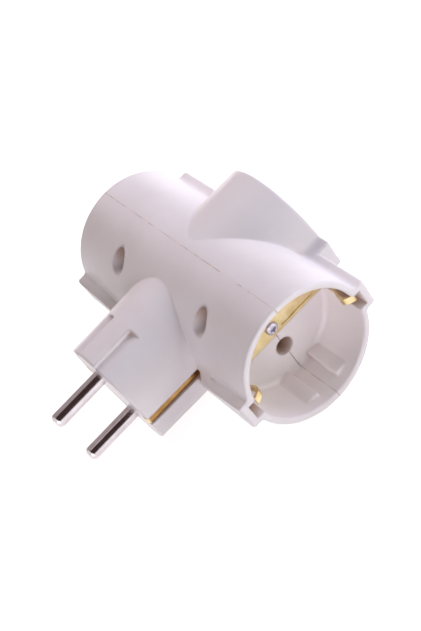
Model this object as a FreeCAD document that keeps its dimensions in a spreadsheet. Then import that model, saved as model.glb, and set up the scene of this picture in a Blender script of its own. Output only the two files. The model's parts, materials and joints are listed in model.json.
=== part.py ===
import FreeCAD, Part
import math
import os
import re
import Sketcher
from FreeCAD import Placement, Rotation, Vector

# Mains adapter with one round two-pin plug and three sockets, in millimetres.
# The cross tube lies along X with a socket at each end, the plug points along -Y, the
# rear socket along +Y, and +Z is up. Shapes are worked out about the point where the
# axes of tube and plug cross, with the half shells meeting in the plane y = 0. Each
# sub-part is then placed plug_reach further along Y, so that the finished adapter has
# its origin in the middle of the plug's end face.

document = FreeCAD.newDocument("socket_adapter")

# Driving sizes
SIZES = {
    # Sockets
    "recess_radius": 19.9,
    "socket_wall": 2.1,
    "socket_depth": 18.0,
    "base_thickness": 2.5,
    "tube_reach": 45.0,
    "rear_reach": 29.5,
    "rear_rim_wall": 1.5,
    "rear_root_step": 0.15,
    "rim_round": 0.6,
    "mouth_bevel": 0.4,
    "corner_round": 1.5,
    "hole_collar_length": 3.5,
    "hole_collar_wall": 1.0,
    # Lugs outside each socket and the clip notches under them
    "lug_rise": 3.0,
    "lug_width": 9.9,
    "lug_round": 0.9,
    "lug_root_round": 1.5,
    "lug_valley_height": 2.5,
    "lug_ridge_width": 1.5,
    "notch_rise": 2.5,
    "notch_width": 5.8,
    # Guide pads on the recess wall, in pairs beside a channel
    "guide_rise": 1.9,
    "guide_length": 14.3,
    "guide_round": 0.6,
    "channel_width": 7.8,
    # Plug barrel and its flats
    "plug_reach": 43.2,
    "plug_end_radius": 18.4,
    "plug_root_radius": 19.1,
    "plug_end_round": 0.5,
    "plug_wall": 3.0,
    "plug_end_thickness": 3.0,
    "flat_height": 16.6,
    "flat_length": 15.0,
    "flat_wall": 2.0,
    "flat_round": 0.6,
    "band_width": 8.4,
    # Pins and the holes for the pins of other plugs
    "pin_spacing": 19.0,
    "pin_radius": 2.4,
    "pin_length": 19.0,
    "pin_tip_round": 1.7,
    "pin_root_radius": 2.7,
    "pin_fit": 0.05,
    "pin_hole_radius": 3.0,
    "pin_boss_radius": 4.4,
    "pin_boss_height": 8.5,
    "collar_radius": 3.4,
    "collar_thickness": 1.5,
    "rivet_radius": 1.9,
    "rivet_rise": 0.5,
    # Screws that hold the shells together, and their columns
    "column_inset": 2.3,
    "column_drop": 3.3,
    "column_radius": 3.8,
    "access_radius": 2.9,
    "seat_depth": 5.0,
    "screw_radius": 1.5,
    "screw_reach": 8.0,
    "screw_end_gap": 1.0,
    "screw_clearance": 0.2,
    "thread_clearance": 0.05,
    "head_radius": 2.7,
    "head_height": 2.0,
    "head_round": 0.8,
    "point_bevel": 0.4,
    "cross_rim": 1.1,
    "cross_width": 0.8,
    "cross_depth": 0.8,
    # Earth straps, their clips and screws
    "strap_width": 7.4,
    "strap_thickness": 0.8,
    "strap_end_gap": 0.3,
    "strap_side_gap": 0.1,
    "strap_sink": 0.7,
    "clip_width": 2.5,
    "clip_leg_offset": 1.0,
    "clip_leg_height": 4.5,
    "clip_bow_radius": 16.8,
    "clip_bow_height": 14.5,
    "clip_tip_radius": 20.0,
    "clip_tip_height": 16.2,
    "clip_lean": 0.9,
    "clip_bend": 1.7,
    "crease_width": 0.35,
    "crease_depth": 0.25,
    "crease_start": 3.0,
    "crease_length": 13.0,
    "crease_offset": 2.6,
    "strap_screw_length": 6.0,
    "strap_head_height": 1.3,
    "strap_head_radius": 2.1,
    # Earth contacts in the plug's sides
    "slot_width": 2.8,
    "slot_depth": 1.3,
    "slot_end_gap": 0.3,
    "contact_width": 2.3,
    "contact_thickness": 0.7,
    "contact_bend": 0.8,
    "hook_length": 1.7,
    "hook_inset": 0.45,
    "contact_leg_overlap": 1.8,
    # Contact sleeves
    "sleeve_wall": 0.6,
    "sleeve_length": 12.3,
    "sleeve_gap": 0.2,
    "sleeve_slit": 1.0,
    "sleeve_lead": 0.4,
    "foot_width": 3.0,
    "foot_length": 6.0,
    "foot_rise": 0.3,
    # Bus bars
    "bar_width": 6.0,
    "bar_thickness": 1.0,
    "bar_end_gap": 0.3,
    "earth_width": 8.0,
    "earth_thickness": 1.2,
    "yoke_width": 3.0,
    "yoke_end_gap": 0.3,
    # Seam groove between the shells
    "seam_width": 0.22,
    "seam_depth": 0.3,
}

sheet = document.addObject("Spreadsheet::Sheet", "sizes")
for row, (alias, size) in enumerate(SIZES.items(), 1):
    sheet.set(f"A{row}", alias)
    sheet.set(f"B{row}", str(size))
    sheet.setAlias(f"B{row}", alias)
document.recompute()

# Places worked out from the driving sizes, as expressions
OVERSHOOT = "1"
OVERLAP = "0.5"
TUBE_RADIUS = "(recess_radius + socket_wall)"
REAR_ROOT_RADIUS = f"({TUBE_RADIUS} - rear_root_step)"
REAR_RIM_RADIUS = "(recess_radius + rear_rim_wall)"
LUG_RADIUS = f"({TUBE_RADIUS} + lug_rise)"
NOTCH_RADIUS = "(recess_radius + notch_rise)"
BASE_BACK = "(tube_reach - socket_depth - base_thickness)"
REAR_BASE_BACK = "(rear_reach - socket_depth - base_thickness)"
PLUG_CAVITY_RADIUS = "(plug_end_radius - plug_wall)"
PLUG_CAVITY_END = "(plug_reach - plug_end_thickness)"
PIN_HEIGHT = "(pin_spacing / 2)"
PIN_SEAT_RADIUS = "(pin_root_radius + pin_fit)"
PIN_BORE_RADIUS = "(pin_radius + pin_fit)"
HOLE_END = "(base_thickness + hole_collar_length)"
COLLAR_FACE = f"({PLUG_CAVITY_END} - pin_boss_height)"
TAB_FACE = f"({COLLAR_FACE} - collar_thickness)"
COLUMN_X = f"({BASE_BACK} - column_inset)"
COLUMN_Z = "(recess_radius - column_drop)"
SLOT_FLOOR = "(plug_end_radius - slot_depth)"
SLOT_END = f"({TUBE_RADIUS} + slot_end_gap)"
SLEEVE_RADIUS = f"({PIN_BORE_RADIUS} + sleeve_wall)"
BAR_HEIGHT = f"({PIN_HEIGHT} + {SLEEVE_RADIUS} + foot_rise)"

# Turns that lay a piece made along Z on another axis
ALONG = {
    "x": Rotation(Vector(0, 1, 0), 90),
    "y": Rotation(Vector(1, 0, 0), -90),
    "z": Rotation(),
}
FROM_FRONT = Rotation(Vector(1, 0, 0), 90)
OVER_X = Rotation(Vector(1, 0, 0), 180)
OVER_Y = Rotation(Vector(0, 1, 0), 180)

# Each socket's name, its turn about Z, its axis and sign, and how far out its rim is
SOCKETS = (
    ("right", 0, "x", "", "tube_reach"),
    ("rear", 90, "y", "", "rear_reach"),
    ("left", 180, "x", "-", "tube_reach"),
)

pieces = []


def named(text):
    """An expression with the sheet's name before each of its aliases."""
    return re.sub(r"\b[a-z]+(?:_[a-z]+)+\b", r"sizes.\g<0>", text)


def value(text):
    """What an expression comes to, in millimetres."""
    return float(sheet.evalExpression(text))


def both(text):
    """A span that is as long on each side of zero."""
    return f"-({text})", f"({text})"


def bind(item, **properties):
    """Bind properties of an object to expressions."""
    for name, text in properties.items():
        item.setExpression(name, named(text))


def place(item, turn, x="0", y="0", z="0"):
    """Turn an object and bind its position."""
    item.Placement = Placement(Vector(value(x), value(y), value(z)), turn)
    for axis, text in zip("xyz", (x, y, z)):
        if text != "0":
            item.setExpression(f"Placement.Base.{axis}", named(text))
    return item


def in_socket(socket, out="0", turn=Rotation()):
    """Turn and position that take what looks out along X to a socket's base face."""
    _, degrees, axis, sign, reach = socket
    position = {axis: f"{sign}({reach} - socket_depth + {out})"}
    return {"turn": Rotation(Vector(0, 0, 1), degrees) * turn, **position}


def seat(item, socket):
    """Put what was made about a base face that looks along X at a socket's base face."""
    return place(item, **in_socket(socket))


def block(name, x, y, z):
    """A box whose spans are given as pairs of expressions."""
    item = document.addObject("Part::Box", name)
    bind(
        item,
        Length=f"({x[1]}) - ({x[0]})",
        Width=f"({y[1]}) - ({y[0]})",
        Height=f"({z[1]}) - ({z[0]})",
    )
    return place(item, Rotation(), x[0], y[0], z[0])


def start_of(axis, low, across):
    """Where a round piece along an axis starts, with its offsets on the other axes."""
    position = dict(across)
    position[axis] = low
    return position


def rod(name, axis, radius, low, high, **across):
    """A cylinder along an axis between two places."""
    item = document.addObject("Part::Cylinder", name)
    bind(item, Radius=radius, Height=f"({high}) - ({low})")
    return place(item, ALONG[axis], **start_of(axis, low, across))


def cone(name, axis, first_radius, last_radius, low, high, **across):
    """A cone along an axis, from its radius at the low end to that at the high end."""
    item = document.addObject("Part::Cone", name)
    bind(item, Radius1=first_radius, Radius2=last_radius, Height=f"({high}) - ({low})")
    return place(item, ALONG[axis], **start_of(axis, low, across))


def join(name, items):
    """Several objects fused into one."""
    item = document.addObject("Part::MultiFuse", name)
    item.Shapes = items
    return item


def held(name, items):
    """Objects held together as they are, so that they can be placed as one."""
    item = document.addObject("Part::Compound", name)
    item.Links = items
    return item


def shared(name, items):
    """What several objects have in common."""
    item = document.addObject("Part::MultiCommon", name)
    item.Shapes = items
    return item


def without(name, base, tools):
    """A base with one or more tools cut out of it."""
    item = document.addObject("Part::Cut", name)
    item.Base = base
    item.Tool = tools[0] if len(tools) == 1 else join(f"{name}_tools", tools)
    return item


def rounded(name, base, radius, chosen):
    """A base with the edges rounded that a test picks."""
    document.recompute()
    size = value(radius)
    item = document.addObject("Part::Fillet", name)
    item.Base = base
    item.Edges = [
        (number, size, size)
        for number, edge in enumerate(base.Shape.Edges, 1)
        if chosen(edge)
    ]
    return item


def is_circle(edge):
    """True for a round edge."""
    return isinstance(edge.Curve, Part.Circle)


def is_line(edge):
    """True for a straight edge."""
    return isinstance(edge.Curve, Part.Line)


def reach_of(edge, axis):
    """How near to and how far from zero an edge comes on an axis, without signs."""
    box = edge.BoundBox
    return sorted((abs(getattr(box, f"{axis}Min")), abs(getattr(box, f"{axis}Max"))))


def is_corner(edge, axis, distance):
    """True for an edge that stays at one distance from zero on an axis."""
    near, far = reach_of(edge, axis)
    return abs(near - distance) < 0.01 and abs(far - distance) < 0.01


def turned(name, outline):
    """A body turned about its own Z, from (radius, height) corners of its outline."""
    body = document.addObject("PartDesign::Body", name)
    sketch = body.newObject("Sketcher::SketchObject", f"{name}_outline")
    plane = next(item for item in body.Origin.OriginFeatures if item.Role == "XZ_Plane")
    sketch.AttachmentSupport = [(plane, "")]
    sketch.MapMode = "FlatFace"
    corners = [Vector(value(radius), value(height), 0) for radius, height in outline]
    lines = [
        sketch.addGeometry(Part.LineSegment(start, end))
        for start, end in zip(corners, corners[1:] + corners[:1])
    ]
    for line, following in zip(lines, lines[1:] + lines[:1]):
        sketch.addConstraint(Sketcher.Constraint("Coincident", line, 2, following, 1))
    for line, corner in zip(lines, outline):
        for kind, text in zip(("DistanceX", "DistanceY"), corner):
            number = sketch.addConstraint(Sketcher.Constraint(kind, -1, 1, line, 1, value(text)))
            if text != "0":
                sketch.setExpression(f"Constraints[{number}]", named(text))
    revolution = body.newObject("PartDesign::Revolution", f"{name}_turned")
    revolution.Profile = sketch
    revolution.ReferenceAxis = (sketch, ["V_Axis"])
    revolution.Angle = 360
    return body


def round_top(body, height, radius):
    """Round the rim of a turned body's top face."""
    document.recompute()
    solid = body.Tip
    level = value(height)
    rims = [
        f"Edge{number}"
        for number, edge in enumerate(solid.Shape.Edges, 1)
        if is_circle(edge) and abs(edge.BoundBox.ZMin - level) < 0.01
    ]
    fillet = body.newObject("PartDesign::Fillet", f"{body.Name}_round")
    fillet.Base = (solid, rims)
    bind(fillet, Radius=radius)
    body.Tip = fillet
    return body


def folded(points, bend, thickness, width):
    """A strip folded along points in the XY plane, centred on Z = 0, with rounded ends."""
    points = [point - Vector(0, 0, width / 2) for point in points]
    edges = []
    start = points[0]
    for before, corner, after in zip(points, points[1:], points[2:]):
        arriving = (corner - before).normalize()
        leaving = (after - corner).normalize()
        half_turn = arriving.getAngle(leaving) / 2
        setback = bend * math.tan(half_turn)
        sagitta = bend / math.cos(half_turn) - bend
        first = corner - arriving * setback
        last = corner + leaving * setback
        middle = corner + (leaving - arriving).normalize() * sagitta
        edges.append(Part.LineSegment(start, first).toShape())
        edges.append(Part.Arc(first, middle, last).toShape())
        start = last
    edges.append(Part.LineSegment(start, points[-1]).toShape())
    outline = Part.Wire(edges).makeOffset2D(thickness / 2, 0, False, False)
    return Part.Face(outline).extrude(Vector(0, 0, width))


def piece(name, item, turn=Rotation(), x="0", y="0", z="0"):
    """Place an object as a sub-part of its own, with the plug's end face at y = 0."""
    place(item, turn, x, f"{y} + plug_reach", z)
    item.Label = name
    pieces.append((name, item))


def socket_recess(name):
    """The space in one socket: recess, bevelled mouth, clip notches and strap channel."""
    bore = rounded(
        f"{name}_bore",
        rod(f"{name}_square_bore", "x", "recess_radius", "0", f"socket_depth + {OVERSHOOT}"),
        "corner_round",
        lambda edge: is_circle(edge) and edge.BoundBox.XMax < 0.01,
    )
    mouth = cone(
        f"{name}_mouth", "x", "recess_radius", "recess_radius + 2 * mouth_bevel",
        "socket_depth - mouth_bevel", "socket_depth + mouth_bevel",
    )
    notch = block(
        f"{name}_notch", ("-strap_sink", f"socket_depth + {OVERSHOOT}"),
        both(NOTCH_RADIUS), both("notch_width / 2"),
    )
    channel = block(
        f"{name}_channel", ("-strap_sink", "corner_round"),
        both(NOTCH_RADIUS), both("strap_width / 2 + strap_side_gap"),
    )
    within = rod(
        f"{name}_channel_limit", "x", "recess_radius",
        f"-(strap_sink + {OVERSHOOT})", f"corner_round + {OVERSHOOT}",
    )
    strap_seat = shared(f"{name}_strap_seat", [channel, within])
    return join(f"{name}_space", [bore, mouth, notch, strap_seat])


def guide_pads(name):
    """Four pads in a socket, two above and two below, each pair with a channel between."""
    ring = rod(f"{name}_ring", "x", f"recess_radius + {OVERLAP}", f"-{OVERLAP}", "guide_length")
    middle = block(
        f"{name}_middle", (f"-{OVERSHOOT}", f"guide_length + {OVERSHOOT}"),
        both(TUBE_RADIUS), both("recess_radius - guide_rise"),
    )
    channel = block(
        f"{name}_channel", (f"-{OVERSHOOT}", f"guide_length + {OVERSHOOT}"),
        both("channel_width / 2"), both(TUBE_RADIUS),
    )
    pads = without(f"{name}_square", ring, [middle, channel])
    free_end = value("guide_length")
    beside_channel = value("channel_width / 2")
    return rounded(
        name, pads, "guide_round",
        lambda edge: is_line(edge) and (
            edge.BoundBox.XMin > free_end - 0.01 or is_corner(edge, "Y", beside_channel)
            and is_corner(edge, "Z", value("recess_radius - guide_rise"))
        ),
    )


def hole_collars(name):
    """A collar behind each pin hole of one socket, which makes the hole deeper."""
    collars = [
        rod(
            f"{name}_{level}", "x", "pin_hole_radius + hole_collar_wall",
            f"-{HOLE_END}", f"-{OVERLAP}", z=f"{sign}{PIN_HEIGHT}",
        )
        for level, sign in (("upper", ""), ("lower", "-"))
    ]
    return held(name, collars)


def base_holes(name):
    """The two pin holes and the strap screw's hole in one socket's base."""
    depth = (f"-({HOLE_END} + {OVERSHOOT})", OVERSHOOT)
    holes = [
        rod(f"{name}_upper", "x", "pin_hole_radius", *depth, z=PIN_HEIGHT),
        rod(f"{name}_lower", "x", "pin_hole_radius", *depth, z=f"-{PIN_HEIGHT}"),
        rod(f"{name}_screw", "x", "screw_radius + screw_clearance", *depth),
    ]
    return join(name, holes)


def with_lugs(name, barrel, lug, across, rims):
    """A barrel fused with its lugs, with soft roots and corners, and rounded rims."""
    side = value("lug_width / 2")
    top = value(LUG_RADIUS)
    joined = join(f"{name}_square", [barrel, lug])
    soft_roots = rounded(
        f"{name}_roots", joined, "lug_root_round",
        lambda edge: is_corner(edge, "Z", side) and reach_of(edge, across)[1] < top - 0.01,
    )
    soft_corners = rounded(
        f"{name}_corners", soft_roots, "lug_round",
        lambda edge: is_corner(edge, "Z", side) and is_corner(edge, across, top),
    )
    return rounded(name, soft_corners, "rim_round", rims)


def front_ramps():
    """What is cut off the two front lugs, so that their upper sides sink towards the plug."""
    side = value("lug_width / 2")
    tube = value(TUBE_RADIUS)
    lug = value(LUG_RADIUS)
    soft = value("lug_root_round")
    above = side + 2 * soft
    outside = lug + value(OVERSHOOT)
    valley = value("lug_valley_height")
    ridge = value("lug_ridge_width") - side
    near_plug = [
        (tube, valley),
        (lug, ridge),
        (outside, ridge),
        (outside, above),
        (math.sqrt(tube ** 2 - above ** 2), above),
        (math.sqrt(tube ** 2 - side ** 2), side),
    ]
    at_rim = [
        (tube, side),
        (lug, side),
        (outside, side),
        (outside, above),
        (tube, above),
        (tube, side + soft / 2),
    ]
    ramps = []
    for name, sign in (("right", 1), ("left", -1)):
        start = sign * value("plug_end_radius - hook_length")
        end = sign * value("tube_reach")
        wires = []
        for x, section in ((start, near_plug), (end, at_rim)):
            corners = [Vector(x, -y, z) for y, z in section]
            wires.append(Part.makePolygon(corners + corners[:1]))
        ramp = document.addObject("Part::Feature", f"{name}_front_ramp")
        ramp.Shape = Part.makeLoft(wires, True, True)
        ramps.append(ramp)
    return ramps


def housing_outside():
    """The whole adapter as one solid block: tube, rear barrel, plug barrel and lugs."""
    side_rim = value("tube_reach")
    rear_rim = value("rear_reach")
    tube = with_lugs(
        "tube",
        rod("tube_barrel", "x", TUBE_RADIUS, *both("tube_reach")),
        block("side_lug", both("tube_reach"), both(LUG_RADIUS), both("lug_width / 2")),
        "Y", lambda edge: is_corner(edge, "X", side_rim),
    )
    rear = with_lugs(
        "rear_barrel",
        cone("rear_cone", "y", REAR_ROOT_RADIUS, REAR_RIM_RADIUS, "0", "rear_reach"),
        block("rear_lug", both(LUG_RADIUS), ("0", "rear_reach"), both("lug_width / 2")),
        "X", lambda edge: is_corner(edge, "Y", rear_rim),
    )
    end = -value("plug_reach")
    plug = rounded(
        "plug_barrel",
        cone("plug_barrel_square", "y", "plug_end_radius", "plug_root_radius", "-plug_reach", "0"),
        "plug_end_round",
        lambda edge: is_circle(edge) and edge.BoundBox.YMax < end + 0.01,
    )
    ramped_tube = without("ramped_tube", tube, front_ramps())
    return join("housing_outside", [ramped_tube, rear, plug])


def inner_cavities():
    """The hollow of the tube between its sockets, and that of the plug barrel."""
    hollow = rod("tube_hollow", "x", "recess_radius", *both(BASE_BACK))
    rear_base = rod("rear_base", "y", TUBE_RADIUS, REAR_BASE_BACK, f"{TUBE_RADIUS} + {OVERSHOOT}")
    plug_hollow = rod("plug_hollow", "y", PLUG_CAVITY_RADIUS, f"-{PLUG_CAVITY_END}", "0")
    plug_roof = block(
        "plug_roof", both(PLUG_CAVITY_RADIUS), (f"-{PLUG_CAVITY_END}", "0"),
        both("flat_height - flat_wall"),
    )
    return [
        without("middle_cavity", hollow, [rear_base]),
        shared("plug_cavity", [plug_hollow, plug_roof]),
    ]


def screw_columns():
    """Four columns across the tube, each a boss in both shells for a housing screw."""
    columns = []
    for side, x_sign in (("right", ""), ("left", "-")):
        for level, z_sign in (("upper", ""), ("lower", "-")):
            columns.append(rod(
                f"{side}_{level}_column", "y", "column_radius", *both(TUBE_RADIUS),
                x=f"{x_sign}{COLUMN_X}", z=f"{z_sign}{COLUMN_Z}",
            ))
    within = rod(
        "column_limit", "x", "recess_radius + socket_wall / 2",
        *both(f"{BASE_BACK} + base_thickness / 2"),
    )
    return shared("columns", [join("all_columns", columns), within])


def pin_bosses():
    """A boss behind the plug's end wall for each pin."""
    return [
        rod(
            f"{level}_pin_boss", "y", "pin_boss_radius",
            f"-({PLUG_CAVITY_END} + {OVERLAP})", f"-{COLLAR_FACE}", z=f"{sign}{PIN_HEIGHT}",
        )
        for level, sign in (("upper", ""), ("lower", "-"))
    ]


def screw_passages():
    """Access recess, clearance hole and thread hole for each housing screw."""
    cuts = []
    for side, x_sign in (("right", ""), ("left", "-")):
        for level, z_sign in (("upper", ""), ("lower", "-")):
            at = {"x": f"{x_sign}{COLUMN_X}", "z": f"{z_sign}{COLUMN_Z}"}
            name = f"{side}_{level}"
            cuts.append(rod(
                f"{name}_access", "y", "access_radius",
                f"-({TUBE_RADIUS} + {OVERSHOOT})", "-seat_depth", **at,
            ))
            cuts.append(rod(
                f"{name}_clearance", "y", "screw_radius + screw_clearance",
                f"-(seat_depth + {OVERSHOOT})", "0", **at,
            ))
            cuts.append(rod(
                f"{name}_thread", "y", "screw_radius + thread_clearance",
                f"-{OVERSHOOT}", "screw_reach + screw_end_gap", **at,
            ))
    return cuts


def plug_cuts():
    """Pin holes, flats beside the raised bands, and earth slots of the plug barrel."""
    cuts = [
        rod(
            f"{level}_pin_bore", "y", PIN_SEAT_RADIUS,
            f"-(plug_reach + {OVERSHOOT})", f"-({COLLAR_FACE} - {OVERSHOOT})",
            z=f"{sign}{PIN_HEIGHT}",
        )
        for level, sign in (("upper", ""), ("lower", "-"))
    ]
    length = (f"-(plug_reach + {OVERSHOOT})", "-(plug_reach - flat_length)")
    longer = (f"-(plug_reach + 2 * {OVERSHOOT})", f"-(plug_reach - flat_length - {OVERSHOOT})")
    around = block("flat_reach", both("plug_root_radius"), length, both("plug_root_radius"))
    core = block("flat_core", both(f"plug_root_radius + {OVERSHOOT}"), longer, both("flat_height"))
    band = block("flat_band", both("band_width / 2"), longer, both(f"plug_root_radius + {OVERSHOOT}"))
    inner_end = -value("plug_reach - flat_length")
    beside_band = value("band_width / 2")
    flats = without("flats_square", around, [core, band])
    cuts.append(rounded(
        "flats", flats, "flat_round",
        lambda edge: is_line(edge) and edge.BoundBox.YMin > inner_end - 0.01
        and edge.BoundBox.ZLength > 0.01 and abs(abs(edge.BoundBox.XMin) - beside_band) < 0.01,
    ))
    for side, turn in (("right", Rotation()), ("left", OVER_Y)):
        width = both("slot_width / 2")
        open_slot = block(
            f"{side}_slot", (SLOT_FLOOR, f"plug_root_radius + {OVERSHOOT}"),
            (f"-(plug_reach + {OVERSHOOT})", f"-{SLOT_END}"), width,
        )
        hook_seat = block(
            f"{side}_hook_seat", (f"{SLOT_FLOOR} - hook_length", f"{SLOT_FLOOR} + {OVERSHOOT}"),
            (f"-(plug_reach + {OVERSHOOT})", "-(plug_reach - hook_inset - contact_bend)"), width,
        )
        inlet = block(
            f"{side}_inlet", (f"{PLUG_CAVITY_RADIUS} - {OVERSHOOT}", f"{SLOT_FLOOR} + {OVERLAP}"),
            (f"-({SLOT_END} + 2 * contact_thickness)", f"-{SLOT_END}"), width,
        )
        slot = join(f"{side}_earth_slot", [open_slot, hook_seat, inlet])
        cuts.append(place(slot, turn))
    return cuts


def seam_grooves():
    """The fine groove where the two shells meet, along the tube, its rims and recesses."""
    width = both("seam_width / 2")
    around = block(
        "seam_around", both(f"tube_reach + {OVERSHOOT}"), width, both(f"{TUBE_RADIUS} + {OVERSHOOT}")
    )
    core = block(
        "seam_core", both("tube_reach - seam_depth"),
        both("seam_width"), both(f"{TUBE_RADIUS} - seam_depth"),
    )
    grooves = [without("outer_seam", around, [core])]
    for socket in SOCKETS:
        if socket[2] == "x":
            groove = block(
                f"{socket[0]}_recess_seam", ("-seam_depth", f"socket_depth + {OVERSHOOT}"),
                width, both("recess_radius + seam_depth"),
            )
            grooves.append(seat(held(f"{socket[0]}_seam", [groove]), socket))
    return grooves


def housing():
    """Front and rear shells, parted in the plane y = 0."""
    spaces = inner_cavities()
    fittings = [screw_columns()] + pin_bosses()
    holes = []
    for socket in SOCKETS:
        name = socket[0]
        spaces.append(seat(socket_recess(f"{name}_recess"), socket))
        fittings.append(seat(held(f"{name}_guides", [guide_pads(f"{name}_pads")]), socket))
        fittings.append(seat(hole_collars(f"{name}_collars"), socket))
        holes.append(seat(base_holes(f"{name}_holes"), socket))
    hollow = without("hollow_housing", housing_outside(), spaces)
    fitted = join("fitted_housing", [hollow] + fittings)
    cuts = holes + screw_passages() + plug_cuts() + seam_grooves()
    whole = without("whole_housing", fitted, cuts)
    width = both(f"tube_reach + {OVERSHOOT}")
    height = both(f"{LUG_RADIUS} + {OVERSHOOT}")
    front_half = block("front_half", width, (f"-(plug_reach + {OVERSHOOT})", "0"), height)
    rear_half = block("rear_half", width, ("0", f"rear_reach + {OVERSHOOT}"), height)
    piece("front_shell", shared("front_shell", [whole, front_half]))
    piece("rear_shell", shared("rear_shell", [whole, rear_half]))


def plug_pins():
    """Two turned pins: rivet end through the bar, collar on the boss, thick root, free end."""
    root = "(plug_end_thickness + pin_boss_height)"
    shank = f"({root} + pin_length)"
    rivet = "(collar_thickness + bar_thickness + rivet_rise)"
    outline = [
        ("0", f"-{rivet}"),
        ("rivet_radius", f"-{rivet}"),
        ("rivet_radius", "-collar_thickness"),
        ("collar_radius", "-collar_thickness"),
        ("collar_radius", "0"),
        ("pin_root_radius", "0"),
        ("pin_root_radius", root),
        ("pin_radius", root),
        ("pin_radius", shank),
        ("0", shank),
    ]
    for name, sign in (("live_pin", ""), ("neutral_pin", "-")):
        pin = round_top(turned(name, outline), shank, "pin_tip_round")
        piece(name, pin, FROM_FRONT, y=f"-{COLLAR_FACE}", z=f"{sign}{PIN_HEIGHT}")


def screw(name, length, head_radius, head_height):
    """A screw along Z with its bearing face at z = 0 and a cross recess in its head."""
    body = turned(f"{name}_turned", [
        ("0", f"-{length}"),
        ("screw_radius - point_bevel", f"-{length}"),
        ("screw_radius", f"-({length} - point_bevel)"),
        ("screw_radius", "0"),
        (head_radius, "0"),
        (head_radius, head_height),
        ("0", head_height),
    ])
    round_top(body, head_height, "head_round")
    depth = (f"{head_height} - cross_depth", f"{head_height} + {OVERSHOOT}")
    long_way = both(f"{head_radius} - cross_rim")
    short_way = both("cross_width / 2")
    arms = [
        block(f"{name}_cross_a", long_way, short_way, depth),
        block(f"{name}_cross_b", short_way, long_way, depth),
    ]
    return without(name, body, arms)


def housing_screws():
    """Four screws from the front through one shell into the other."""
    length = "(seat_depth + screw_reach)"
    for side, x_sign in (("right", ""), ("left", "-")):
        for level, z_sign in (("upper", ""), ("lower", "-")):
            name = f"housing_screw_{level}_{side}"
            item = screw(name, length, "head_radius", "head_height")
            piece(
                name, item, FROM_FRONT,
                x=f"{x_sign}{COLUMN_X}", y="-seat_depth", z=f"{z_sign}{COLUMN_Z}",
            )


def clip_points(side):
    """Fold points of one clip, from the strap's plane to its tip, on side 1 or -1."""
    leg = side * value("recess_radius + clip_leg_offset")
    lean = value("clip_lean")
    return [
        Vector(value("strap_thickness / 2"), leg, 0),
        Vector(value("clip_leg_height"), leg, 0),
        Vector(value("clip_bow_height"), side * value("clip_bow_radius") + lean, 0),
        Vector(value("clip_tip_height"), side * value("clip_tip_radius") + lean, 0),
    ]


def strap_shape():
    """A strap across a socket's base, folded up at both ends into a bowed spring clip."""
    thickness = value("strap_thickness")
    leg = value("recess_radius + clip_leg_offset")
    points = clip_points(-1)[::-1] + clip_points(1)
    strip = folded(points, value("clip_bend"), thickness, value("strap_width"))
    half_width = value("strap_width / 2")
    clear_radius = value("recess_radius - strap_end_gap")
    plate_reach = math.sqrt(clear_radius ** 2 - half_width ** 2)
    plate = Part.makeBox(thickness * 2, plate_reach * 2, half_width * 2)
    plate.translate(Vector(-thickness / 2, -plate_reach, -half_width))
    clip_width = value("clip_width")
    clips = Part.makeBox(value("socket_depth"), leg * 2 + thickness * 4, clip_width)
    clips.translate(Vector(-thickness / 2, -leg - thickness * 2, -clip_width / 2))
    strap = strip.common(plate.fuse(clips))
    hole = Part.makeCylinder(
        value("screw_radius + screw_clearance"), thickness * 3,
        Vector(-thickness, 0, 0), Vector(1, 0, 0),
    )
    crease = Part.makeBox(thickness, value("crease_length"), value("crease_width"))
    crease.translate(Vector(
        thickness - value("crease_depth"), value("crease_start"), -value("crease_offset")
    ))
    return strap.cut(hole.fuse(crease))


def earth_straps():
    """An earth strap and its screw in each socket."""
    for socket in SOCKETS:
        name = f"earth_strap_{socket[0]}"
        strap = document.addObject("Part::Feature", name)
        strap.Shape = strap_shape()
        piece(name, strap, **in_socket(socket, "-strap_sink"))
        name = f"strap_screw_{socket[0]}"
        item = screw(name, "strap_screw_length", "strap_head_radius", "strap_head_height")
        piece(name, item, **in_socket(socket, "strap_thickness - strap_sink", ALONG["x"]))


def plug_earth_contacts():
    """A folded strip in each side slot of the plug, hooked over its end."""
    thickness = value("contact_thickness")
    along = value(SLOT_FLOOR) + thickness / 2
    hook = -value("plug_reach - hook_inset")
    inner = -value(SLOT_END) - thickness / 2
    points = [
        Vector(value(f"{SLOT_FLOOR} - hook_length") + thickness, hook, 0),
        Vector(along, hook, 0),
        Vector(along, inner, 0),
        Vector(value(f"{PLUG_CAVITY_RADIUS} - yoke_end_gap - contact_leg_overlap"), inner, 0),
    ]
    for side, turn in (("right", Rotation()), ("left", OVER_Y)):
        name = f"plug_earth_contact_{side}"
        contact = document.addObject("Part::Feature", name)
        contact.Shape = folded(points, value("contact_bend"), thickness, value("contact_width"))
        piece(name, contact, turn)


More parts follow.
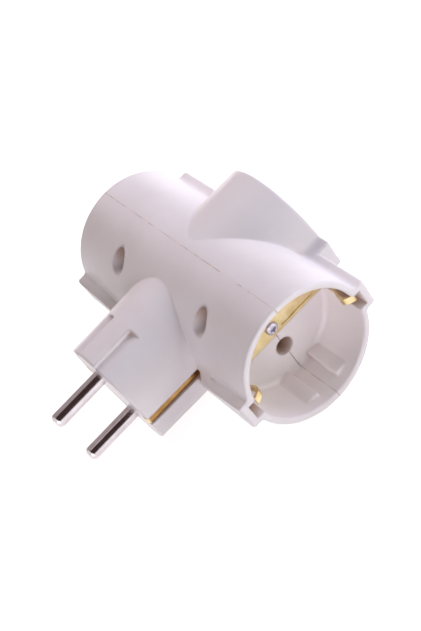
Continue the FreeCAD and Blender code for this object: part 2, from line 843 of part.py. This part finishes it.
def contact_sleeves():
    """A split sleeve behind each pin hole, with a foot under its bus bar."""
    mouth = f"-({HOLE_END} + sleeve_gap)"
    tail = f"({mouth} - sleeve_length)"
    for socket in SOCKETS:
        for pole, turn in (("live", Rotation()), ("neutral", OVER_X)):
            name = f"{pole}_sleeve_{socket[0]}"
            tube = rod(f"{name}_tube", "x", SLEEVE_RADIUS, tail, mouth, z=PIN_HEIGHT)
            foot = block(
                f"{name}_foot", (tail, f"{tail} + foot_length"), both("foot_width / 2"),
                (f"{PIN_HEIGHT} + {PIN_BORE_RADIUS} + sleeve_wall / 2", BAR_HEIGHT),
            )
            bore = rod(
                f"{name}_bore", "x", PIN_BORE_RADIUS,
                f"{tail} - {OVERSHOOT}", f"{mouth} + {OVERSHOOT}", z=PIN_HEIGHT,
            )
            lead = cone(
                f"{name}_lead", "x", PIN_BORE_RADIUS, f"{PIN_BORE_RADIUS} + sleeve_lead",
                f"{mouth} - sleeve_lead", mouth, z=PIN_HEIGHT,
            )
            slit = block(
                f"{name}_slit", (f"{tail} - {OVERSHOOT}", f"{mouth} + {OVERSHOOT}"),
                both("sleeve_slit / 2"), (f"{PIN_HEIGHT} - {SLEEVE_RADIUS} - {OVERSHOOT}", PIN_HEIGHT),
            )
            body = join(f"{name}_body", [tube, foot])
            piece(name, without(name, body, [bore, lead, slit]), **in_socket(socket, turn=turn))


def bus_bars():
    """Live and neutral bars: an arm along the tube, one along the plug, a riveted tab."""
    arm_end = f"({COLUMN_X} - column_radius - bar_end_gap)"
    thickness = (BAR_HEIGHT, f"{BAR_HEIGHT} + bar_thickness")
    half_width = both("bar_width / 2")
    for name, turn in (("live_bar", Rotation()), ("neutral_bar", OVER_Y)):
        cross_arm = block(f"{name}_cross_arm", both(arm_end), half_width, thickness)
        long_arm = block(
            f"{name}_long_arm", half_width,
            (
                f"-({TAB_FACE} - {OVERLAP})",
                f"{REAR_BASE_BACK} - hole_collar_length - bar_end_gap",
            ),
            thickness,
        )
        tab = block(
            f"{name}_tab", half_width, (f"-{TAB_FACE}", f"-({TAB_FACE} - bar_thickness)"),
            (f"{PIN_HEIGHT} - bar_width / 2", f"{BAR_HEIGHT} + bar_thickness"),
        )
        hole = rod(
            f"{name}_hole", "y", "rivet_radius + thread_clearance",
            f"-({TAB_FACE} + {OVERSHOOT})", f"-({TAB_FACE} - 2 * bar_thickness)", z=PIN_HEIGHT,
        )
        body = join(f"{name}_body", [cross_arm, long_arm, tab])
        piece(name, without(name, body, [hole]), turn)


def earth_bar():
    """A flat cross with a tab behind each socket's base and a yoke between the contacts."""
    half_width = both("earth_width / 2")
    sheet_span = both("earth_thickness / 2")
    side_arm = block("earth_side_arm", both(BASE_BACK), half_width, sheet_span)
    long_arm = block("earth_long_arm", half_width, (f"-{SLOT_END}", REAR_BASE_BACK), sheet_span)
    yoke = block(
        "earth_yoke", both(f"{PLUG_CAVITY_RADIUS} - yoke_end_gap"),
        (f"-{SLOT_END}", f"-({SLOT_END} - yoke_width)"), sheet_span,
    )
    tabs = []
    holes = []
    for socket in SOCKETS:
        tab = block(
            f"{socket[0]}_earth_tab", ("-(base_thickness + earth_thickness)", "-base_thickness"),
            half_width, half_width,
        )
        hole = rod(
            f"{socket[0]}_earth_hole", "x", "screw_radius + thread_clearance",
            f"strap_thickness - strap_sink - strap_screw_length - {OVERLAP}", "0",
        )
        tabs.append(seat(held(f"{socket[0]}_tab", [tab]), socket))
        holes.append(seat(held(f"{socket[0]}_tap", [hole]), socket))
    body = join("earth_bar_body", [side_arm, long_arm, yoke] + tabs)
    piece("earth_bar", without("earth_bar", body, holes))


housing()
plug_pins()
housing_screws()
earth_straps()
plug_earth_contacts()
contact_sleeves()
bus_bars()
earth_bar()
document.recompute()

for item in document.Objects:
    if "Invalid" in item.State or "Error" in item.State:
        raise RuntimeError(f"{item.Label} did not build: {item.State}")
for name, item in pieces:
    if item.Shape.isNull() or not item.Shape.isValid():
        raise RuntimeError(f"{name} has no valid shape")

os.makedirs("parts", exist_ok=True)
for name, item in pieces:
    item.Shape.exportStep(f"parts/{name}.step")
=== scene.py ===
import json
import math

import bmesh
import bpy
from mathutils import Euler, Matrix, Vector


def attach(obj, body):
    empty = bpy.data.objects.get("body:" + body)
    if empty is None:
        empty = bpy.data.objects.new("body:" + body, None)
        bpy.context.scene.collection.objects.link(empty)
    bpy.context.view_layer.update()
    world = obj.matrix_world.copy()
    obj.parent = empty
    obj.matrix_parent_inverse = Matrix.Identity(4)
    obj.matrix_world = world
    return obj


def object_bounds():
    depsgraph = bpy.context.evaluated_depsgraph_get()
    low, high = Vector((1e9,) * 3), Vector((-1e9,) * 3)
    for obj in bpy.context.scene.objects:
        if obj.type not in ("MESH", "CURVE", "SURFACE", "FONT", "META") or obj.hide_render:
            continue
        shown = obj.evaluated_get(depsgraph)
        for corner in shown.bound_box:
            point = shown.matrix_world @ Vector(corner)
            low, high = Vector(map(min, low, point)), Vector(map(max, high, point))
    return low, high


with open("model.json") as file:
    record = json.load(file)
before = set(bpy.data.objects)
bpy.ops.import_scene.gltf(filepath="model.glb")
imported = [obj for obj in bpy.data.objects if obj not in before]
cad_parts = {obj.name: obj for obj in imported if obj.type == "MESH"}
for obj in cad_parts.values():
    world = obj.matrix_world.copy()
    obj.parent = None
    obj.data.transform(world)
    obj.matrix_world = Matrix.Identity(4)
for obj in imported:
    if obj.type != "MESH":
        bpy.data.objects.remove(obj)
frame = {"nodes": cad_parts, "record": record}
cad_low, cad_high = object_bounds()

WHITE = (1.0, 1.0, 1.0)
BLACK = (0.0, 0.0, 0.0)

# Camera: place in metres, turn in degrees, and the lens that frames the photo
CAMERA_PLACE = (0.30597, -0.01674, 0.28419)
CAMERA_TURN = (39.711, 27.602, 50.950)
CAMERA_LENS = 120.19
SENSOR_WIDTH = 36.0

# Sizes of the adapter that the new pieces sit on, in metres
SPLIT_PLANE = 0.0432
TUBE_REACH = 0.045
TUBE_RADIUS = 0.022
RECESS_RADIUS = 0.0199
RECESS_DEPTH = 0.0170

# Plastic: colour and roughness along its flow pattern, and its refraction
PLASTIC_LOW = (0.845, 0.778, 0.786)
PLASTIC_HIGH = (0.885, 0.828, 0.836)
PLASTIC_ROUGHNESS = (0.26, 0.36)
PLASTIC_IOR = 1.49
RIPPLE_DEPTH = 0.00010
GRAIN_DEPTH = 0.000006

# How far a moulded edge is rounded, in metres, and how far off the seam that fades out
EDGE_SOFTNESS = 0.0011
EDGE_SAMPLES = 6
SEAM_REACH = (0.0007, 0.0013)

# Painted shade in holes and narrow gaps: how far light is looked for, in metres, and the warm
# dark colour painted where it lacks
CREVICE_REACH = 0.008
CREVICE_SAMPLES = 8
PAINTED_SHADE_TINT = (0.62, 0.41, 0.26)
PAINTED_SHADE_RANGE = (0.06, 0.58)

# Metals by finish: name, darker and lighter colour, roughness, and the stretch of their lines
LINES_ALONG_Y = (1.0, 0.04, 1.0)
LINES_ALONG_Z = (1.0, 1.0, 0.05)
NO_STRETCH = (1.0, 1.0, 1.0)
METALS = {
    "pin_plating": (
        "nickel_plating", (0.62, 0.56, 0.58), (0.72, 0.66, 0.69), 0.14, LINES_ALONG_Y
    ),
    "spring_brass": (
        "spring_brass", (0.74, 0.57, 0.27), (0.88, 0.73, 0.43), 0.30, LINES_ALONG_Z
    ),
    "contact_brass": (
        "contact_brass", (0.58, 0.42, 0.16), (0.76, 0.60, 0.30), 0.30, LINES_ALONG_Z
    ),
    "zinc": (
        "zinc_plating", (0.52, 0.49, 0.56), (0.70, 0.66, 0.74), 0.42, NO_STRETCH
    ),
    # Plug contact brass, darkened to brown as painted shade of the slots the contacts lie in
    "painted_shade_brass": (
        "painted_shade_brass", (0.36, 0.19, 0.060), (0.50, 0.29, 0.11), 0.26, LINES_ALONG_Y
    ),
}
LINE_DEPTH = 0.000012
LINE_ROUGHNESS = (0.75, 1.3)

# Plug earth contacts, whose brass is painted dark with the shade of their slots, and the bright
# lip, in the plain spring brass, where each one folds over the plug's end
PLUG_CONTACTS = ("plug_earth_contact_right", "plug_earth_contact_left")
LIP_ACROSS = (0.0153, 0.0180)
LIP_OUT = -0.00015
LIP_THICKNESS = 0.0006
LIP_HALF_WIDTH = 0.00105
LIP_LEAN = 0.7
LIP_STEPS = 6

# Moulding flash in the seam: its colours, where its dashes change, and its grain
FLASH_LOW = (0.62, 0.44, 0.34)
FLASH_HIGH = (0.88, 0.79, 0.77)
FLASH_DASHES = (0.40, 0.60)
FLASH_ROUGHNESS = (0.35, 0.6)
FLASH_GRAIN_DEPTH = 0.00001

# Its section and how far it waves below the surface, in metres, and how far it runs
FLASH_HALF_WIDTH = 0.00011
FLASH_DEPTH = 0.00025
FLASH_SUNK = 0.00002
FLASH_WAVE = 0.00003
FLASH_BEATS = (1.7, 0.6)
TUBE_FLASH_STEPS = 90
TUBE_FLASH_SHARE = 0.995
RECESS_FLASH_STEPS = 22
RECESS_FLASH_GAP = 0.0003

# Floor: its own glow near the adapter, and between which distances it rises to white
FLOOR_SIZE = 3.0
FLOOR_COLOUR = (0.90, 0.90, 0.90)
FLOOR_ROUGHNESS = 0.8
FLOOR_GLOW = 0.72
FLOOR_FADE = (0.15, 0.60)

WORLD_COLOUR = (1.0, 0.62, 0.52)
WORLD_STRENGTH = 0.02

# Bent sheet that polished metal reflects: in metres and degrees about the Y axis, dark
# behind the camera, and pale on the left, past the range of x where the two blend
SHEET_RADIUS = 1.2
SHEET_ANGLES = (15.0, 190.0)
SHEET_SIDES = (-0.7, 0.9)
SHEET_STEPS = 35
SHEET_DARK = (0.060, 0.036, 0.034)
SHEET_PALE = (0.46, 0.40, 0.40)
SHEET_BLEND = (0.0, -0.2)

# Soft boxes: name, place in metres, power in watts, colour, and whether gloss shows it
LAMP_AIM = (0.0, 0.04, 0.0)
LAMP_SIZE = 0.5
LAMPS = (
    ("back", (0.05, 0.72, 0.35), 3.8, (0.76, 0.78, 1.0), True),
    ("left", (-0.65, 0.10, 0.45), 3.9, (1.0, 0.89, 0.87), False),
    ("right_back", (0.60, 0.55, 0.25), 2.5, (0.97, 1.0, 0.95), True),
    ("right_front", (0.60, -0.50, 0.15), 3.5, (0.95, 0.93, 1.0), True),
)


def new_material(name):
    """An empty node material and its shader."""
    material = bpy.data.materials.new(name)
    material.use_nodes = True
    shader = material.node_tree.nodes["Principled BSDF"]
    return material, shader


def node(material, kind, **values):
    """A node of a material, with the values of its sockets or settings."""
    made = material.node_tree.nodes.new(kind)
    for name, value in values.items():
        socket = made.inputs.get(name.replace("_", " "))
        if socket is not None:
            socket.default_value = value
        else:
            setattr(made, name, value)
    return made


def link(material, start, end):
    """Join an output to an input."""
    material.node_tree.links.new(start, end)


def object_coordinates(material):
    """Object coordinates in metres."""
    return node(material, "ShaderNodeTexCoord").outputs["Object"]


def object_axis(material, axis):
    """One of the object coordinates in metres."""
    parts = node(material, "ShaderNodeSeparateXYZ")
    link(material, object_coordinates(material), parts.inputs["Vector"])
    return parts.outputs[axis]


def stretched_coordinates(material, stretch):
    """Object coordinates in metres, stretched along the three axes."""
    mapping = node(material, "ShaderNodeMapping", Scale=stretch)
    link(material, object_coordinates(material), mapping.inputs["Vector"])
    return mapping.outputs["Vector"]


def noise(material, vector, scale, detail=4.0, roughness=0.55):
    """A noise value between 0 and 1."""
    made = node(material, "ShaderNodeTexNoise", Scale=scale, Detail=detail, Roughness=roughness)
    link(material, vector, made.inputs["Vector"])
    return made.outputs["Fac"]


def blend_colours(material, factor, low, high, start=0.35, end=0.65):
    """A colour that runs from one to another over a range of a factor."""
    ramp = node(material, "ShaderNodeValToRGB")
    ramp.color_ramp.elements[0].position = start
    ramp.color_ramp.elements[1].position = end
    ramp.color_ramp.elements[0].color = (*low, 1.0)
    ramp.color_ramp.elements[1].color = (*high, 1.0)
    link(material, factor, ramp.inputs["Fac"])
    return ramp.outputs["Color"]


def value_range(material, factor, low, high, start=0.0, end=1.0):
    """A value that runs from one number to another over a range of a factor."""
    made = node(
        material, "ShaderNodeMapRange", From_Min=start, From_Max=end, To_Min=low, To_Max=high
    )
    link(material, factor, made.inputs["Value"])
    return made.outputs["Result"]


def bump(material, heights, start=None):
    """Bumps in metres, one laid over the other, as (height value, depth) pairs."""
    normal = start
    for height, depth in heights:
        made = node(material, "ShaderNodeBump", Distance=depth)
        link(material, height, made.inputs["Height"])
        if normal is not None:
            link(material, normal, made.inputs["Normal"])
        normal = made.outputs["Normal"]
    return normal


def mix(material, kind, first, second, **settings):
    """The mix node of a kind of value, with its two inputs linked."""
    made = node(material, "ShaderNodeMix", data_type=kind, **settings)
    ends = [
        socket for socket in made.inputs
        if socket.enabled and socket.name in ("A", "B")
    ]
    link(material, first, ends[0])
    link(material, second, ends[1])
    result = next(socket for socket in made.outputs if socket.enabled)
    return made, result


def soft_edges(material, radius):
    """A normal that rounds the edges of a shape by a radius in metres, but not the seam's."""
    rounded = node(material, "ShaderNodeBevel", Radius=radius)
    rounded.samples = EDGE_SAMPLES
    plain = node(material, "ShaderNodeNewGeometry")
    offset = node(material, "ShaderNodeMath", operation="SUBTRACT")
    link(material, object_axis(material, "Y"), offset.inputs[0])
    offset.inputs[1].default_value = SPLIT_PLANE
    distance = node(material, "ShaderNodeMath", operation="ABSOLUTE")
    link(material, offset.outputs["Value"], distance.inputs[0])
    away = value_range(material, distance.outputs["Value"], 0.0, 1.0, *SEAM_REACH)
    mixed, normal = mix(material, "VECTOR", plain.outputs["Normal"], rounded.outputs["Normal"])
    link(material, away, mixed.inputs["Factor"])
    return normal


def painted_crevice_shade(material, colour):
    """Painted shade: a colour that turns warm and dark where the light hardly gets in, as in
    holes.
    """
    hidden = node(material, "ShaderNodeAmbientOcclusion", Distance=CREVICE_REACH)
    hidden.samples = CREVICE_SAMPLES
    tint = blend_colours(material, hidden.outputs["AO"], PAINTED_SHADE_TINT, WHITE, *PAINTED_SHADE_RANGE)
    mixed, tinted = mix(material, "RGBA", colour, tint, blend_type="MULTIPLY")
    mixed.inputs["Factor"].default_value = 1.0
    return tinted


def moulded_plastic():
    """Glossy off-white plastic with a slight flow pattern and softly uneven gloss."""
    material, shader = new_material("moulded_plastic")
    vector = stretched_coordinates(material, NO_STRETCH)
    flow = noise(material, vector, scale=45.0, detail=3.0)
    grain = noise(material, vector, scale=2600.0, detail=5.0)
    ripple = noise(material, vector, scale=150.0, detail=2.0)
    colour = blend_colours(material, flow, PLASTIC_LOW, PLASTIC_HIGH)
    # The base colour carries painted shade, warm and dark in holes and narrow gaps.
    link(material, painted_crevice_shade(material, colour), shader.inputs["Base Color"])
    link(material, value_range(material, flow, *PLASTIC_ROUGHNESS), shader.inputs["Roughness"])
    waves = [(ripple, RIPPLE_DEPTH), (grain, GRAIN_DEPTH)]
    normal = bump(material, waves, soft_edges(material, EDGE_SOFTNESS))
    link(material, normal, shader.inputs["Normal"])
    shader.inputs["IOR"].default_value = PLASTIC_IOR
    return material


def plated_metal(name, low, high, roughness, stretch):
    """Plated metal with fine lines along one way and faint uneven tarnish."""
    material, shader = new_material(name)
    lines = noise(material, stretched_coordinates(material, stretch), scale=900.0, detail=6.0)
    cloud = noise(material, stretched_coordinates(material, NO_STRETCH), scale=260.0)
    link(material, blend_colours(material, cloud, low, high), shader.inputs["Base Color"])
    smooth, rough = LINE_ROUGHNESS
    uneven = value_range(material, lines, roughness * smooth, roughness * rough)
    link(material, uneven, shader.inputs["Roughness"])
    link(material, bump(material, [(lines, LINE_DEPTH)]), shader.inputs["Normal"])
    shader.inputs["Metallic"].default_value = 1.0
    return material


def flash_plastic():
    """Warm thin plastic of the moulding flash, paler and browner along the seam by turns."""
    material, shader = new_material("moulding_flash")
    vector = stretched_coordinates(material, NO_STRETCH)
    dashes = noise(material, vector, scale=330.0, detail=2.0)
    grain = noise(material, vector, scale=2400.0)
    colour = blend_colours(material, dashes, FLASH_LOW, FLASH_HIGH, *FLASH_DASHES)
    link(material, colour, shader.inputs["Base Color"])
    link(material, value_range(material, grain, *FLASH_ROUGHNESS), shader.inputs["Roughness"])
    link(material, bump(material, [(grain, FLASH_GRAIN_DEPTH)]), shader.inputs["Normal"])
    return material


def dress_nodes():
    """Give each piece of the frame its finish."""
    finishes = {"housing": moulded_plastic()}
    for finish, look in METALS.items():
        finishes[finish] = plated_metal(*look)
    for part in frame["record"]["subparts"]:
        piece = frame["nodes"][part["node"]]
        # The plug contacts take the brass darkened with painted shade.
        finish = "painted_shade_brass" if part["node"] in PLUG_CONTACTS else part["material_slot"]
        for slot in piece.material_slots:
            slot.material = finishes[finish]
    return finishes


def ribbon(name, outline, inward, half_width, width_axis, depth, material):
    """A thin bar along points, as deep as stated along the inward ways, riding on the part."""
    mesh = bpy.data.meshes.new(name)
    piece = bpy.data.objects.new(name, mesh)
    bpy.context.scene.collection.objects.link(piece)
    form = bmesh.new()
    rings = []
    for point, into in zip(outline, inward):
        corners = []
        for side, down in ((-1, 0), (1, 0), (1, 1), (-1, 1)):
            corner = point + width_axis * half_width * side + into * depth * down
            corners.append(form.verts.new(corner))
        rings.append(corners)
    for first, second in zip(rings, rings[1:]):
        for index in range(4):
            after = (index + 1) % 4
            form.faces.new((first[index], first[after], second[after], second[index]))
    form.faces.new(rings[0])
    form.faces.new(list(reversed(rings[-1])))
    bmesh.ops.recalc_face_normals(form, faces=form.faces)
    form.to_mesh(mesh)
    form.free()
    mesh.materials.append(material)
    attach(piece, "root")


def flash(name, points, into, material):
    """A strip of moulding flash along points."""
    across = Vector((0.0, 1.0, 0.0))
    ribbon(
        name, points, [into] * len(points), FLASH_HALF_WIDTH, across, FLASH_DEPTH,
        material,
    )


def make_flash():
    """Flash along the tube's seam above and below, and down each side recess's wall."""
    material = flash_plastic()
    quick_beat, slow_beat = FLASH_BEATS
    for up, where in ((1, "top"), (-1, "bottom")):
        into = Vector((0.0, 0.0, -up))
        points = []
        for step in range(TUBE_FLASH_STEPS + 1):
            along = TUBE_REACH * (2 * step / TUBE_FLASH_STEPS - 1) * TUBE_FLASH_SHARE
            wave = 1 + math.sin(step * quick_beat) * math.cos(step * slow_beat)
            sunk = FLASH_SUNK + FLASH_WAVE * wave
            points.append(Vector((along, SPLIT_PLANE, up * (TUBE_RADIUS - sunk))))
        flash(f"tube_flash_{where}", points, into, material)
        for end, side in ((1, "right"), (-1, "left")):
            points = []
            for step in range(RECESS_FLASH_STEPS + 1):
                run = (RECESS_DEPTH - 2 * RECESS_FLASH_GAP) * step / RECESS_FLASH_STEPS
                along = TUBE_REACH - RECESS_FLASH_GAP - run
                sunk = FLASH_SUNK + FLASH_WAVE * (1 + math.sin(step * quick_beat))
                points.append(Vector((end * along, SPLIT_PLANE, up * (RECESS_RADIUS + sunk))))
            flash(f"recess_flash_{side}_{where}", points, -into, material)


def make_lips(material):
    """The bright folded lip of each plug contact at the plug's end."""
    across = Vector((0.0, 0.0, 1.0))
    for name, turn in zip(PLUG_CONTACTS, (1, -1)):
        points, inward = [], []
        for step in range(LIP_STEPS + 1):
            part = step / LIP_STEPS
            bent = max(0.0, 3 * part - 2)
            along = LIP_ACROSS[0] + (LIP_ACROSS[1] - LIP_ACROSS[0]) * part
            points.append(Vector((turn * along, LIP_OUT + LIP_THICKNESS * bent ** 2, 0.0)))
            inward.append(Vector((-turn * bent * LIP_LEAN, 1.0, 0.0)).normalized())
        ribbon(
            name.replace("contact", "lip"), points, inward, LIP_HALF_WIDTH, across,
            LIP_THICKNESS, material,
        )


def seen_directly(tree):
    """1 for rays that see a background, from the camera or by gloss or glass, and else 0."""
    path = tree.nodes.new("ShaderNodeLightPath")
    total = path.outputs["Is Camera Ray"]
    for name in ("Is Glossy Ray", "Is Transmission Ray"):
        larger = tree.nodes.new("ShaderNodeMath")
        larger.operation = "MAXIMUM"
        tree.links.new(total, larger.inputs[0])
        tree.links.new(path.outputs[name], larger.inputs[1])
        total = larger.outputs["Value"]
    return total


def make_floor():
    """A pale floor under the adapter that keeps its shadow and turns white further off."""
    bpy.ops.mesh.primitive_plane_add(size=FLOOR_SIZE, location=(0, 0, cad_low.z))
    floor = bpy.context.object
    floor.name = "floor"
    material, shader = new_material("pale_floor")
    shader.inputs["Base Color"].default_value = (*FLOOR_COLOUR, 1.0)
    shader.inputs["Roughness"].default_value = FLOOR_ROUGHNESS
    shader.inputs["Emission Color"].default_value = (*WHITE, 1.0)
    reach = node(material, "ShaderNodeVectorMath", operation="LENGTH")
    link(material, object_coordinates(material), reach.inputs[0])
    share = value_range(material, reach.outputs["Value"], FLOOR_GLOW, 1.0, *FLOOR_FADE)
    glow = node(material, "ShaderNodeMath", operation="MULTIPLY")
    link(material, seen_directly(material.node_tree), glow.inputs[0])
    link(material, share, glow.inputs[1])
    link(material, glow.outputs["Value"], shader.inputs["Emission Strength"])
    floor.data.materials.append(material)


def sheet_material():
    """A sheet that glows dark on one side and pale on the other, without gloss."""
    material, shader = new_material("sheet")
    side = value_range(material, object_axis(material, "X"), 0.0, 1.0, *SHEET_BLEND)
    glow = blend_colours(material, side, SHEET_DARK, SHEET_PALE, 0.0, 1.0)
    link(material, glow, shader.inputs["Emission Color"])
    shader.inputs["Emission Strength"].default_value = 1.0
    shader.inputs["Base Color"].default_value = (*BLACK, 1.0)
    shader.inputs["Specular IOR Level"].default_value = 0.0
    return material


def make_sheet():
    """A bent studio sheet over the adapter that shows in gloss only."""
    mesh = bpy.data.meshes.new("sheet")
    sheet = bpy.data.objects.new("sheet", mesh)
    bpy.context.scene.collection.objects.link(sheet)
    form = bmesh.new()
    rows = []
    first, last = SHEET_ANGLES
    for step in range(SHEET_STEPS + 1):
        angle = math.radians(first + (last - first) * step / SHEET_STEPS)
        x, z = SHEET_RADIUS * math.cos(angle), SHEET_RADIUS * math.sin(angle)
        rows.append([form.verts.new((x, side, z)) for side in SHEET_SIDES])
    for low_row, high_row in zip(rows, rows[1:]):
        form.faces.new((low_row[0], low_row[1], high_row[1], high_row[0]))
    form.to_mesh(mesh)
    form.free()
    sheet.visible_camera = False
    sheet.visible_diffuse = False
    sheet.visible_shadow = False
    mesh.materials.append(sheet_material())


def make_world():
    """A little even warm light, with a white background behind the adapter."""
    world = bpy.data.worlds.new("studio")
    bpy.context.scene.world = world
    world.use_nodes = True
    tree = world.node_tree
    tree.nodes.clear()
    light = tree.nodes.new("ShaderNodeBackground")
    light.inputs["Color"].default_value = (*WORLD_COLOUR, 1.0)
    light.inputs["Strength"].default_value = WORLD_STRENGTH
    white = tree.nodes.new("ShaderNodeBackground")
    white.inputs["Color"].default_value = (*WHITE, 1.0)
    mixed = tree.nodes.new("ShaderNodeMixShader")
    output = tree.nodes.new("ShaderNodeOutputWorld")
    tree.links.new(seen_directly(tree), mixed.inputs["Fac"])
    tree.links.new(light.outputs["Background"], mixed.inputs[1])
    tree.links.new(white.outputs["Background"], mixed.inputs[2])
    tree.links.new(mixed.outputs["Shader"], output.inputs["Surface"])


def make_lights():
    """Square soft boxes behind, on the left and on the right, turned to the adapter's middle."""
    for name, place, power, colour, in_gloss in LAMPS:
        data = bpy.data.lights.new(name, "AREA")
        data.size = LAMP_SIZE
        data.energy = power
        data.color = colour
        lamp = bpy.data.objects.new(name, data)
        lamp.location = place
        aim = Vector(LAMP_AIM) - Vector(place)
        lamp.rotation_euler = aim.to_track_quat("-Z", "Y").to_euler()
        lamp.visible_glossy = in_gloss
        bpy.context.scene.collection.objects.link(lamp)


def make_camera():
    """The camera that took the photo."""
    data = bpy.data.cameras.new("camera")
    data.sensor_fit = "HORIZONTAL"
    data.sensor_width = SENSOR_WIDTH
    data.lens = CAMERA_LENS
    camera = bpy.data.objects.new("camera", data)
    camera.location = CAMERA_PLACE
    camera.rotation_euler = Euler([math.radians(angle) for angle in CAMERA_TURN], "XYZ")
    bpy.context.scene.collection.objects.link(camera)
    bpy.context.scene.camera = camera


make_camera()
finishes = dress_nodes()
make_flash()
make_lips(finishes["spring_brass"])
make_floor()
make_sheet()
make_world()
make_lights()
bpy.context.scene.view_settings.view_transform = "Standard"
